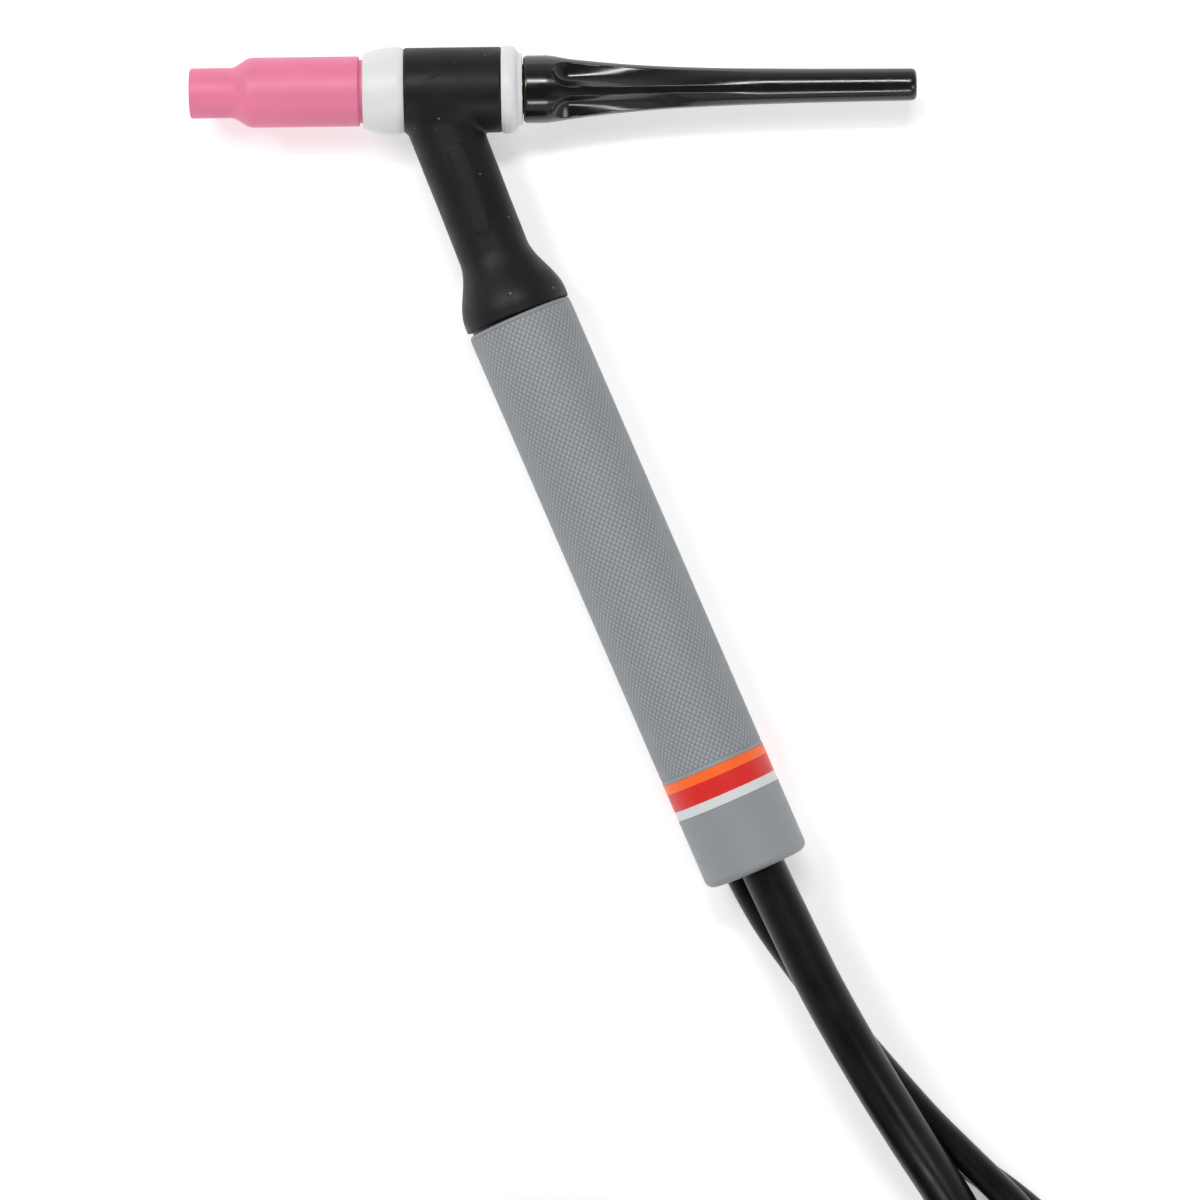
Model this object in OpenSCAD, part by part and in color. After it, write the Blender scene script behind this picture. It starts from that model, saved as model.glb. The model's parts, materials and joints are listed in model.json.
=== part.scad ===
// Water-cooled TIG torch with a long back cap and three hoses, in millimetres.
// It lies flat on its side: +X runs along the head from the nozzle to the back cap, +Z is up,
// and the handle touches the surface at z = 0. The hoses run to coils on the same surface.

/* [Head] */
// Diameter of the rubber barrel around the head
barrel_d = 22.5; // [22:0.1:23]
// Length of the rubber barrel
barrel_len = 25.5; // [25:0.1:26]
// Diameter of the neck between head and handle
neck_d = 18.7; // [18.4:0.1:19]
// Length of the neck, from the head's axis to the handle
neck_len = 64; // [62:0.5:66]
// Angle of the neck below the head's axis
neck_angle = 69.3; // [68:0.1:70]

/* [Nozzle] */
// Length of the ceramic nozzle
nozzle_len = 47.6; // [46:0.1:49]
// Outer diameter of the nozzle's mouth
nozzle_tip_d = 13.2; // [12.8:0.1:13.6]
// Bore of the nozzle's mouth
nozzle_bore_d = 9.8; // [9.5:0.1:10]
// Outer diameter of the nozzle's body
nozzle_body_d = 18.4; // [18:0.1:18.8]

/* [Back cap] */
// Length of the back cap behind its gasket
cap_len = 103.4; // [102:0.1:105]
// Diameter of the cap's collar
cap_collar_d = 17.8; // [17.4:0.1:18.2]
// Diameter of the cap at its far end
cap_tip_d = 8.4; // [8.2:0.1:8.8]
// Number of grip flutes around the cap
flute_count = 5; // [4:1:6]

/* [Electrode] */
// Diameter of the tungsten electrode
electrode_d = 2.4; // [1.6:0.8:2.4]
// Length of the electrode
electrode_len = 175; // [150:1:175]
// How far the electrode's tip is parked inside the nozzle's mouth
electrode_setback = 10; // [8:0.5:12]

/* [Handle] */
// Outer diameter of the handle
handle_d = 28.5; // [28.5:0.1:29]
// Length of the handle
handle_len = 158.2; // [157:0.1:160]
// Angle of the handle below the head's axis
handle_angle = 67.3; // [66.5:0.1:68]
// Distance from the handle's top to the wrapped band
band_from = 128.4; // [124:0.1:130]
// Width of the wrapped band
band_width = 10.2; // [8:0.1:12]

/* [Hoses] */
// Outer diameter of the hose with the power cable and the returning water in it
power_hose_d = 12; // [11.5:0.1:12]
// Outer diameter of the gas hose
gas_hose_d = 8; // [7.5:0.1:8]
// Outer diameter of the cooling water hose
water_hose_d = 8; // [7.5:0.1:8]

/* [Hidden] */
$fn = 72;

// The head's axis crosses the neck's axis here.
head_at = [-32.4, 99.5, handle_d / 2];
joint_at = head_at + neck_len * [cos(neck_angle), -sin(neck_angle), 0];
running = 0.05;

// Stations along the head's axis, from where the neck's axis crosses it.
barrel_front = -6.7;
barrel_rear = barrel_front + barrel_len;
shield_front = -17.6;
nozzle_rear = -15.6;
nozzle_tip = nozzle_rear - nozzle_len;
nozzle_thread_r = 5.9;
gasket_rear = barrel_rear + 5.5;
cap_front = gasket_rear + 0.3;
cap_rear = cap_front + cap_len;
core_r = 9;
boss_r = 6.4;
body_thread_r = 5.2;
collet_r = 2.3;
collet_rear = 15;
collet_front = -35;
insert_r = 5.5;
electrode_tip = nozzle_tip + electrode_setback;

// The metal tubes cross the neck and end in fittings inside the handle. Each line is given by
// its place across the neck and across the handle: [to the cap's side, up].
power_r = power_hose_d / 2;
gas_r = gas_hose_d / 2;
water_r = water_hose_d / 2;
power_tube_r = 3.2;
small_tube_r = 2;
neck_power = [0.6, 3.4];
neck_gas = [3.4, -3.2];
neck_water = [-3.6, -2.8];
in_power = [1, 5.2];
in_gas = [5, -5.4];
in_water = [-5.6, -4.6];
tubes_from = 12;
fittings_at = 88;
nuts_at = 97;
ferrules_at = 112;
hoses_at = 133;
union_af = 11.6;
small_union_af = 8.2;

// The handle's shell.
handle_r = handle_d / 2;
handle_bore_r = 12.2;
exit_bore_r = 11.6;
plug_len = 12;
exit_lip = 8;

// Coils: [centre x, centre y], first and last radius of the turns, layers, lowest height.
tie_t = 1.2;
power_coil_at = [10, -287];
power_coil_r = [48, 82];
power_layers = 3;
small_coil_at = [74, -430];
gas_coil_r = [36, 59.4];
gas_layers = 4;
water_coil_r = [32, 62.9];
water_layers = 3;
power_coil_top = tie_t + power_layers * power_hose_d;
gas_coil_top = tie_t + gas_layers * gas_hose_d;
water_coil_top = gas_coil_top + water_layers * water_hose_d;

// Routes of the hoses where they aren't coiled, from the fittings to the coils.
power_lead = [
    [42.5, -82.7, 19.4], [47.5, -94.3, 19.5], [52.4, -105.8, 19.6], [59.4, -121, 20.7],
    [67.3, -137.5, 22], [75, -151.7, 22.3], [83, -165.5, 21.3], [91, -178.5, 19.2],
    [98.6, -190.5, 15.5], [104.6, -201, 11.5], [109, -213, 8.3], [110.8, -226, 6.6],
    [110.6, -240, 6.2], [107.5, -256, 6.2], [102, -273, 6.6], [96, -290, 7.2], [89, -308.9, 7.2]
];
gas_lead = [
    [46.2, -81.1, 8.8], [50, -93.2, 8.2], [53.7, -105.3, 7.6], [60, -121, 5.6],
    [67.5, -137.5, 4.1], [76, -152.5, 4], [85, -164.7, 4], [94, -175, 4], [101, -181.8, 4],
    [108.5, -187.4, 4], [115.5, -192.5, 4], [122.6, -198.3, 4], [128.5, -203.8, 4],
    [132.7, -210, 4], [136, -218.5, 4], [137.4, -229, 4], [137.4, -245, 4], [137.2, -265, 4],
    [136.6, -290, 4], [135.6, -320, 4], [134.8, -350, 4], [134.1, -380, 4], [133.6, -405, 4.6],
    [133.4, -430, 5.2]
];
water_lead = [
    [36.4, -85.2, 9.6], [41.6, -96.7, 10.6], [46.8, -108.2, 11.5], [53.6, -120.7, 12.1],
    [60, -130, 12.2], [68, -140.7, 12.2], [76.4, -151, 12.2], [85.5, -161.8, 12.2],
    [95, -172.7, 12.2], [105.3, -183.2, 12.2], [112.5, -190.4, 12.2], [118.8, -197, 12],
    [123, -202.7, 11.7], [126.5, -209.5, 10.8], [128.6, -217.5, 8.8], [129.3, -227, 6.2],
    [129.3, -240, 4.2], [129, -265, 4], [128, -290, 4], [127, -310, 4.1], [126.8, -325, 5.6],
    [127.3, -340, 9], [129, -355, 14.2], [131.3, -370, 21], [133.4, -385, 28.5],
    [135.2, -399, 35.2], [136.4, -413, 37.2], [136.9, -430, 37.2]
];

// The far ends: the route of each tail from the end of the coil's last turn to its ferrule.
power_tail = [
    [-14, -328.5, 31.2], [-27.5, -317, 32.4], [-36, -301, 34.6], [-38.4, -283, 37.8],
    [-33.5, -263, 41.4], [-21, -244.5, 45.2], [-3, -231.5, 49], [12, -226, 51.4],
    [26.1, -226.7, 52.2], [46, -236, 52.2]
];
gas_tail = [
    [74, -489.4, 29.2], [62, -489.2, 28.4], [50, -487, 25.6], [37, -481.5, 20.5],
    [24, -475.2, 14.6], [10.8, -469.4, 11.3], [-5, -463, 11.2]
];
water_tail = [
    [42, -430, 53.2], [43.5, -417.5, 54.4], [49, -404.5, 56.8], [60.5, -394, 60.6],
    [73, -389.5, 64], [85, -389.5, 67], [96, -394, 68.5], [108, -406, 68.5]
];
power_end_turn = -25;
gas_end_turn = 158;
water_end_turn = -45;

// Threads of the far ends: outer radius of thread, flats of nut, lengths of nut and thread.
power_thread_r = 11.11;
power_nut_af = 25.4;
small_thread_r = 7.94;
small_nut_af = 19.05;

// ---------- helpers ----------

// Children's +Z runs along the head towards the cap, from the station x.
module on_head(x = 0) {
    translate(head_at + [x, 0, 0])
        rotate([0, 90, 0])
            children();
}

// Children's +Z runs down the neck, from the distance d below the head's axis.
module on_neck(d = 0) {
    translate(head_at)
        rotate([0, 0, -neck_angle])
            translate([d, 0, 0])
                rotate([0, 90, 0])
                    children();
}

// Children's +Z runs down the handle, from the distance d below its top.
module on_handle(d = 0) {
    translate(joint_at)
        rotate([0, 0, -handle_angle])
            translate([d, 0, 0])
                rotate([0, 90, 0])
                    children();
}

// Children's +Z points level along the heading, from a point.
module level_at(p, heading) {
    translate(p)
        rotate([0, 0, heading])
            rotate([0, 90, 0])
                children();
}

// A point inside the neck or the handle: distance down it, offset to the cap's side and up.
function across(a, off) = [off[0] * sin(a), off[0] * cos(a), off[1]];
function neck_point(d, off) = head_at + d * [cos(neck_angle), -sin(neck_angle), 0]
    + across(neck_angle, off);
function handle_point(d, off) = joint_at + d * [cos(handle_angle), -sin(handle_angle), 0]
    + across(handle_angle, off);

module rod(p, q, r) {
    v = q - p;
    translate(p)
        rotate([0, acos(v[2] / norm(v)), atan2(v[1], v[0])])
            cylinder(h = norm(v), r = r);
}

module tube(h, outer, inner) {
    difference() {
        cylinder(h = h, r = outer);
        translate([0, 0, -1])
            cylinder(h = h + 2, r = inner);
    }
}

module hexagon(h, flats) {
    cylinder(h = h, d = flats / cos(30), $fn = 6);
}

module turned(profile) {
    rotate_extrude()
        polygon(profile);
}

// Points of a smooth S-curve from [r0, z0] to [r1, z1].
function s_curve(r0, z0, r1, z1, n = 8) = [
    for (i = [0:n]) [r0 + (r1 - r0) * (1 - cos(180 * i / n)) / 2, z0 + (z1 - z0) * i / n]
];

// Points of a round edge about the centre [r, z], between two angles.
function round_edge(r, z, edge_r, from, to, n = 5) = [
    for (i = [0:n]) [r, z] + edge_r * [cos(from + (to - from) * i / n),
                                       sin(from + (to - from) * i / n)]
];

function unit(v) = v / norm(v);

function route_end(route, i) = route[max(0, min(len(route) - 1, i))];

// A round tube swept along a route, with a level frame at each ring.
module swept(route, r, sides = 10) {
    last = len(route) - 1;
    ring = [for (i = [0:last])
        let (t = unit(route_end(route, i + 1) - route_end(route, i - 1)))
        let (s = unit([-t[1], t[0], 0]))
        let (u = cross(t, s))
        for (k = [0:sides - 1])
            route[i] + r * cos(360 * k / sides) * s + r * sin(360 * k / sides) * u
    ];
    walls = [for (i = [0:last - 1], k = [0:sides - 1])
        let (a = i * sides + k, b = i * sides + (k + 1) % sides)
        [a, a + sides, b + sides, b]
    ];
    first_cap = [for (k = [0:sides - 1]) k];
    last_cap = [for (k = [sides - 1:-1:0]) last * sides + k];
    polyhedron(ring, concat(walls, [first_cap, last_cap]));
}

// ---------- head ----------

module nozzle() {
    tip_r = nozzle_tip_d / 2;
    bore_r = nozzle_bore_d / 2;
    body_r = nozzle_body_d / 2;
    rear = nozzle_len;
    shoulder = 11.1;
    outside = concat(
        round_edge(tip_r - 0.7, 0.7, 0.7, -90, 0),
        s_curve(tip_r, shoulder, body_r, shoulder + 5.3),
        [[body_r, rear - 3.4], [body_r - 0.3, rear - 3.1], [8.3, rear - 3.1], [8.3, rear]]
    );
    inside = [
        [nozzle_thread_r + running, rear], [nozzle_thread_r + running, rear - 10.4],
        [6.6, rear - 10.9], [6.6, 17], [bore_r, 10], [bore_r, 0.4], [bore_r + 0.4, 0]
    ];
    color("palevioletred")
        on_head(nozzle_tip)
            turned(concat(outside, inside));
}

module heat_shield() {
    face_r = 9.6;
    full_r = 11.6;
    depth = barrel_front - shield_front;
    outside = [for (i = [0:7]) let (z = 0.6 + (depth - 1.2) * i / 7)
        [full_r - pow((8.8 - z) / 8.2, 2) * 1.5, z]
    ];
    color("white")
        on_head(shield_front)
            turned(concat(
                [[8.4, 2], [8.4, 0], [face_r, 0]], outside,
                [[full_r - 0.5, depth], [boss_r + 0.1, depth], [boss_r + 0.1, 4.6], [6.2, 4.4],
                 [6.2, 2]]
            ));
}

module collet_body() {
    color("chocolate")
        on_head()
            difference() {
                turned([
                    [0, -44], [1.9, -44], [3.4, -41], [4.4, -39], [4.4, -26.2],
                    [nozzle_thread_r, -25.4], [nozzle_thread_r, -13], [body_thread_r, -12.7],
                    [body_thread_r, -1], [0, -1]
                ]);
                translate([0, 0, -38])
                    cylinder(h = 40, r = collet_r + running);
                translate([0, 0, -39.9])
                    cylinder(h = 2, r1 = 1.35, r2 = collet_r + running);
                translate([0, 0, -45])
                    cylinder(h = 8, r = 1.35);
                for (turn = [0:90:270])
                    rotate([0, 0, turn])
                        translate([0, 0, -31])
                            rotate([0, 90, 0])
                                cylinder(h = 10, d = 1.6, $fn = 24);
            }
}

module collet() {
    color("peru")
        on_head()
            difference() {
                turned([
                    [electrode_d / 2 + running, collet_front], [1.8, collet_front],
                    [collet_r, collet_front + 2], [collet_r, collet_rear],
                    [electrode_d / 2 + running, collet_rear]
                ]);
                for (turn = [0, 90])
                    rotate([0, 0, turn])
                        translate([-0.2, -5, collet_front - 1])
                            cube([0.4, 10, 19]);
            }
}

module electrode() {
    color("gray")
        on_head(electrode_tip)
            turned([
                [0, 0], [0.2, 0], [electrode_d / 2, 3.4], [electrode_d / 2, electrode_len],
                [0, electrode_len]
            ]);
}

// The brass body of the head as one solid block, without its bores.
module core_block() {
    on_head(barrel_front)
        cylinder(h = barrel_len, r = core_r);
    on_neck()
        cylinder(h = 16, r = 7);
}

module neck_tubes(grow = 0) {
    power_run(grow);
    gas_run(grow);
    water_run(grow);
}

module power_run(grow = 0) {
    rod(neck_point(tubes_from, neck_power), handle_point(fittings_at, in_power),
        power_tube_r + grow);
}

module gas_run(grow = 0) {
    rod(neck_point(tubes_from, neck_gas), handle_point(fittings_at, in_gas),
        small_tube_r + grow);
}

module water_run(grow = 0) {
    rod(neck_point(tubes_from, neck_water), handle_point(fittings_at, in_water),
        small_tube_r + grow);
}

module head_core() {
    color("goldenrod")
        difference() {
            union() {
                core_block();
                on_head(-12.7)
                    cylinder(h = 8, r = boss_r);
            }
            on_head(-14)
                cylinder(h = 13, r = body_thread_r);
            on_head(-2)
                cylinder(h = 11, r = collet_r + 0.3);
            on_head(8)
                cylinder(h = 12, r = insert_r + running);
            neck_tubes();
        }
}

module head_cover() {
    neck_r = neck_d / 2;
    flare_r = 14.2;
    plaque = [25, 5];
    plaque_tilt = 3.4;
    color([0.14, 0.14, 0.15])
        difference() {
            union() {
                on_head(barrel_front)
                    turned(concat(
                        [[0, 0]], round_edge(barrel_d / 2 - 0.5, 0.5, 0.5, -90, 0, 3),
                        round_edge(barrel_d / 2 - 0.5, barrel_len - 0.5, 0.5, 0, 90, 3),
                        [[0, barrel_len]]
                    ));
                on_neck()
                    turned(concat(
                        [[0, 0], [neck_r + 0.2, 0], [neck_r, 34]],
                        s_curve(neck_r, neck_len - 18.5, flare_r, neck_len - 2, 12),
                        [[flare_r, neck_len - 1.3], [flare_r - 0.9, neck_len - 0.5],
                         [0, neck_len - 0.5]]
                    ));
                on_handle(-1)
                    turned([[0, 0], [12.9, 0], [12.9, 1], [handle_bore_r, 1],
                            [handle_bore_r, plug_len], [0, plug_len]]);
                on_neck(28.6)
                    rotate([0, -90, 0])
                        rotate([0, 0, -plaque_tilt])
                            translate([-plaque[0] / 2, -plaque[1] / 2 + 0.2, 0])
                                cube([plaque[0], plaque[1], neck_r + 0.35]);
            }
            on_head(barrel_front - 10)
                cylinder(h = 10, r = barrel_d);
            core_block();
            neck_tubes();
        }
}

module rear_gasket() {
    depth = gasket_rear - barrel_rear;
    color("white")
        on_head(barrel_rear)
            turned(concat(
                [[insert_r + 0.6, 0], [11.3, 0], [11.6, 0.9]],
                round_edge(9.1, 2, 2.5, 0, 75),
                [[9.1, depth], [8.3, depth], [8.3, depth - 1.1], [insert_r + 0.6, depth - 1.1]]
            ));
}

// ---------- back cap ----------

// Radius of the cap's ribs at a distance behind its front face.
function cap_rib_r(z) =
    let (collar = cap_collar_d / 2, tip = cap_tip_d / 2)
    z < 6 ? collar
    : tip + 0.45 * (1 - z / cap_len) + (collar - tip - 0.42) * exp(-pow((z - 6) / 25.5, 1.12));

module back_cap() {
    collar = cap_collar_d / 2;
    tip = cap_tip_d / 2;
    flute_r = 4.6;
    flute_from = 12.3;
    flute_to = 66;
    ribs = [for (z = [6:4:cap_len - 2]) [cap_rib_r(z), z]];
    outside = concat(
        round_edge(collar - 0.9, 0.9, 0.9, -90, 0), ribs,
        round_edge(tip - 1.2, cap_len - 1.2, 1.2, 10, 90)
    );
    color([0.1, 0.1, 0.11])
        on_head(cap_front)
            difference() {
                turned(concat([[0, 0]], outside, [[0, cap_len]]));
                translate([0, 0, -1])
                    cylinder(h = 7, r = insert_r);
                translate([0, 0, -1])
                    cylinder(h = 2.6, r = 7.5);
                cylinder(h = 20, r = 3);
                cylinder(h = cap_len - 3.2, r = 1.9);
                for (k = [0:flute_count - 1])
                    rotate([0, 0, 180 + 10 + 360 / flute_count * (k + 0.5)])
                        translate([10, 0, flute_from])
                            rotate([0, -0.7, 0]) {
                                cylinder(h = flute_to, r = flute_r, $fn = 36);
                                sphere(r = flute_r, $fn = 36);
                            }
            }
}

module cap_insert() {
    color("gold")
        on_head(collet_rear)
            tube(cap_front + 6 - collet_rear, insert_r, electrode_d / 2 + 0.4);
}

module cap_o_ring() {
    ring_r = 0.7;
    color("black")
        on_head(cap_front)
            rotate_extrude()
                translate([insert_r + ring_r + 0.1, 0.5])
                    circle(r = ring_r, $fn = 24);
}

// ---------- lines inside the handle ----------

module power_tube() {
    color("orangered")
        power_run();
}

module gas_tube() {
    color("orangered")
        gas_run();
}

module water_tube() {
    color("orangered")
        water_run();
}

// A fitting brazed on a tube: a plain seat that the union nut turns on.
module seat(off, r) {
    rod(handle_point(fittings_at, off), handle_point(nuts_at, off), r);
}

module power_fitting() {
    color("gold")
        seat(in_power, 4.6);
}

module gas_fitting() {
    color("gold")
        seat(in_gas, 3);
}

module water_fitting() {
    color("gold")
        seat(in_water, 3);
}

// A union nut, with the tail of the hose fitting that comes out of it.
module union_nut(off, flats, tail_r) {
    on_handle(nuts_at)
        translate([-off[1], off[0], 0]) {
            hexagon(9, flats);
            cylinder(h = ferrules_at - nuts_at, r = tail_r);
        }
}

module power_union_nut() {
    color("gold")
        union_nut(in_power, union_af, 4);
}

module gas_union_nut() {
    color("gold")
        union_nut(in_gas, small_union_af, 2.6);
}

module water_union_nut() {
    color("gold")
        union_nut(in_water, small_union_af, 2.6);
}

// A crimped ferrule: its socket holds the first of the hose.
module handle_ferrule(off, outer, hose) {
    socket = 8;
    on_handle(ferrules_at)
        translate([-off[1], off[0], 0])
            difference() {
                cylinder(h = hoses_at - ferrules_at + socket, r = outer);
                translate([0, 0, hoses_at - ferrules_at])
                    cylinder(h = socket + 1, r = hose);
            }
}

module power_ferrule() {
    color("silver")
        handle_ferrule(in_power, 6.7, power_r);
}

module gas_ferrule() {
    color("silver")
        handle_ferrule(in_gas, 4.6, gas_r);
}

module water_ferrule() {
    color("silver")
        handle_ferrule(in_water, 4.6, water_r);
}

// ---------- handle ----------

module handle() {
    band_t = 0.15;
    color([0.56, 0.58, 0.6])
        on_handle()
            difference() {
                turned(concat(
                    [[handle_bore_r, 0]], round_edge(handle_r - 0.8, 0.8, 0.8, -90, 0, 3),
                    [[handle_r, band_from], [handle_r - band_t, band_from],
                     [handle_r - band_t, band_from + band_width],
                     [handle_r, band_from + band_width]],
                    round_edge(handle_r - 2.3, handle_len - 2.3, 2.3, 0, 90, 6),
                    [[exit_bore_r, handle_len], [exit_bore_r, handle_len - exit_lip],
                     [handle_bore_r, handle_len - exit_lip - 1]]
                ));
            }
}

module handle_band() {
    color("orangered")
        on_handle(band_from)
            tube(band_width, handle_r, handle_r - 0.15);
}

// ---------- hoses ----------

module coil_ring(at, radii, hose, from, layers) {
    translate([at[0], at[1], from])
        tube(layers * 2 * hose, radii[1] + hose, radii[0] - hose);
}

module power_hose_lead() {
    color([0.12, 0.12, 0.12])
        swept(power_lead, power_r);
}

module power_hose_coil() {
    color([0.12, 0.12, 0.12])
        coil_ring(power_coil_at, power_coil_r, power_r, tie_t, power_layers);
}

module power_hose_tail() {
    color([0.12, 0.12, 0.12])
        swept(power_tail, power_r);
}

module gas_hose_lead() {
    color([0.16, 0.16, 0.16])
        swept(gas_lead, gas_r, 8);
}

module gas_hose_coil() {
    color([0.16, 0.16, 0.16])
        coil_ring(small_coil_at, gas_coil_r, gas_r, tie_t, gas_layers);
}

module gas_hose_tail() {
    color([0.16, 0.16, 0.16])
        swept(gas_tail, gas_r, 8);
}

module water_hose_lead() {
    color([0.2, 0.2, 0.2])
        swept(water_lead, water_r, 8);
}

module water_hose_coil() {
    color([0.2, 0.2, 0.2])
        coil_ring(small_coil_at, water_coil_r, water_r, gas_coil_top, water_layers);
}

module water_hose_tail() {
    color([0.2, 0.2, 0.2])
        swept(water_tail, water_r, 8);
}

// ---------- far ends ----------

// Children sit on the end of a tail, with +Z pointing on past it.
module at_end(tail, turn) {
    level_at(tail[len(tail) - 1], turn)
        children();
}

// The ferrule covers the last of the hose and reaches past its end by the wall's thickness.
module end_ferrule(hose, h) {
    difference() {
        translate([0, 0, -h])
            cylinder(h = h + 1.5, r = hose + 0.8);
        translate([0, 0, -h - 1])
            cylinder(h = h + 1, r = hose);
        cylinder(h = 3, r = hose / 2);
    }
}

// A nipple with a head, on which the nut turns.
module nipple(stem_r, head_r, stem_len) {
    turned([
        [0, 0], [stem_r, 0], [stem_r, stem_len], [head_r, stem_len], [head_r, stem_len + 4],
        [head_r * 0.6, stem_len + 7], [0, stem_len + 7]
    ]);
}

// A nut with an outer thread, captive between the ferrule and the nipple's head.
module captive_nut(flats, hex_len, thread_r, thread_len, stem_r, head_r) {
    difference() {
        union() {
            hexagon(hex_len, flats);
            cylinder(h = hex_len + thread_len, r = thread_r);
        }
        translate([0, 0, -1])
            cylinder(h = hex_len + thread_len + 2, r = stem_r + running);
        translate([0, 0, hex_len])
            cylinder(h = thread_len + 1, r = head_r + running);
    }
}

module power_end_ferrule() {
    color("silver")
        at_end(power_tail, power_end_turn)
            end_ferrule(power_r, 20);
}

module power_end_nipple() {
    color("gold")
        at_end(power_tail, power_end_turn)
            nipple(3, 7.6, 16);
}

module power_end_nut() {
    color("gold")
        at_end(power_tail, power_end_turn)
            translate([0, 0, 3])
                captive_nut(power_nut_af, 11, power_thread_r, 13, 3, 7.6);
}

module gas_end_ferrule() {
    color("silver")
        at_end(gas_tail, gas_end_turn)
            end_ferrule(gas_r, 15);
}

module gas_end_nipple() {
    color("gold")
        at_end(gas_tail, gas_end_turn)
            nipple(2, 5.2, 12);
}

module gas_end_nut() {
    color("gold")
        at_end(gas_tail, gas_end_turn)
            translate([0, 0, 2])
                captive_nut(small_nut_af, 8, small_thread_r, 11, 2, 5.2);
}

module water_end_ferrule() {
    color("silver")
        at_end(water_tail, water_end_turn)
            end_ferrule(water_r, 15);
}

module water_end_nipple() {
    color("gold")
        at_end(water_tail, water_end_turn)
            nipple(2, 5.2, 12);
}

module water_end_nut() {
    color("gold")
        at_end(water_tail, water_end_turn)
            translate([0, 0, 2])
                captive_nut(small_nut_af, 8, small_thread_r, 11, 2, 5.2);
}

// ---------- coil ties ----------

// A strap around the whole section of a coil, at a turn about the coil's centre.
module tie(at, inner, outer, top, turn) {
    wide = 16;
    translate([at[0], at[1], 0])
        difference() {
            intersection() {
                difference() {
                    cylinder(h = top + tie_t, r = outer + tie_t);
                    translate([0, 0, -1])
                        cylinder(h = top + 3, r = inner - tie_t);
                }
                rotate([0, 0, turn])
                    translate([0, -wide / 2, 0])
                        cube([outer + 9, wide, top + tie_t]);
            }
            translate([0, 0, tie_t])
                tube(top - tie_t, outer, inner);
        }
}

module power_coil_ties() {
    color("dimgray")
        for (turn = [80, 258, 325])
            tie(power_coil_at, power_coil_r[0] - power_r, power_coil_r[1] + power_r,
                power_coil_top, turn);
}

module gas_water_coil_ties() {
    color("dimgray")
        for (turn = [70, 205, 290])
            tie(small_coil_at, water_coil_r[0] - water_r, water_coil_r[1] + water_r,
                water_coil_top, turn);
}

nozzle();
heat_shield();
collet_body();
collet();
electrode();
head_core();
head_cover();
rear_gasket();
back_cap();
cap_insert();
cap_o_ring();
power_tube();
gas_tube();
water_tube();
power_fitting();
gas_fitting();
water_fitting();
power_union_nut();
gas_union_nut();
water_union_nut();
power_ferrule();
gas_ferrule();
water_ferrule();
handle();
handle_band();
power_hose_lead();
power_hose_coil();
power_hose_tail();
gas_hose_lead();
gas_hose_coil();
gas_hose_tail();
water_hose_lead();
water_hose_coil();
water_hose_tail();
power_end_ferrule();
power_end_nipple();
power_end_nut();
gas_end_ferrule();
gas_end_nipple();
gas_end_nut();
water_end_ferrule();
water_end_nipple();
water_end_nut();
power_coil_ties();
gas_water_coil_ties();
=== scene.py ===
import json
import math

import bpy
import numpy as np
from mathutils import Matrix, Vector


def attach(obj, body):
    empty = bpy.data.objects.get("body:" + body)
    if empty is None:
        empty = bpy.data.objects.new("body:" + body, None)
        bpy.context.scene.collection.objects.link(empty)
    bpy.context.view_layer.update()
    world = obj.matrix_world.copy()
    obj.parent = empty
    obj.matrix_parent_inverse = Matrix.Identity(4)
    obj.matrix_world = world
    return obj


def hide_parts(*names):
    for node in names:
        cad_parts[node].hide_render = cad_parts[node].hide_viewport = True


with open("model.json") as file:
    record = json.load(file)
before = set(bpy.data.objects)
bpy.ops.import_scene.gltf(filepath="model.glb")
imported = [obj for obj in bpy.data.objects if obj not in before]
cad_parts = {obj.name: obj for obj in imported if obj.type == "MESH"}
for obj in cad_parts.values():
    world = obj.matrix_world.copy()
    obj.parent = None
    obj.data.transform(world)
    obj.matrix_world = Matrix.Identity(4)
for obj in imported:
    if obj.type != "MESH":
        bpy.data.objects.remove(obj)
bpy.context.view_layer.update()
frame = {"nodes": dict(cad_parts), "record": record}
nodes = frame["nodes"]
MM = 0.001

# ---------- places, in millimetres ----------

HEAD = np.array([-32.4, 99.5, 14.25])
NECK_ANGLE, HANDLE_ANGLE = math.radians(69.3), math.radians(67.3)
NECK_LEN, HANDLE_LEN = 64.0, 158.2
NECK_DIR = np.array([math.cos(NECK_ANGLE), -math.sin(NECK_ANGLE), 0.0])
HANDLE_DIR = np.array([math.cos(HANDLE_ANGLE), -math.sin(HANDLE_ANGLE), 0.0])
JOINT = HEAD + NECK_LEN * NECK_DIR
UP = np.array([0.0, 0.0, 1.0])

# Along the head's axis, from where the neck's axis meets it.
NOZZLE_TIP, NOZZLE_REAR = -63.2, -15.66
SHIELD_FRONT = -17.6
BARREL_FRONT, BARREL_REAR, BARREL_R, BARREL_ROUNDING = -6.7, 18.8, 11.25, 0.45
GASKET_REAR = 24.3
CAP_FRONT, CAP_LEN, COLLAR_R, TIP_R = 24.6, 103.4, 8.9, 4.2
FLUTES, FLUTE_FLOOR_R, FIRST_RIB_DEG = 5, 5.4, 190

# Along the neck: the rubber's end and the middle of the blank plaque.
NECK_END = 63.4
PLAQUE_AT, PLAQUE_ACROSS, PLAQUE_LEAN = 28.6, 0.2, math.radians(3.4)
PLAQUE_HALF_WIDTH, PLAQUE_HALF_RUN, PLAQUE_RISE = 2.6, 9.9, 0.42

# Along the handle.
HANDLE_R, HANDLE_BORE_R = 14.25, 12.2
BAND_FROM, BAND_WIDTH = 128.4, 10.2
DOTS_AROUND, DOT_ROW, DOT_R, DOT_HEIGHT = 58, 0.873, 0.58, 0.2


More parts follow.
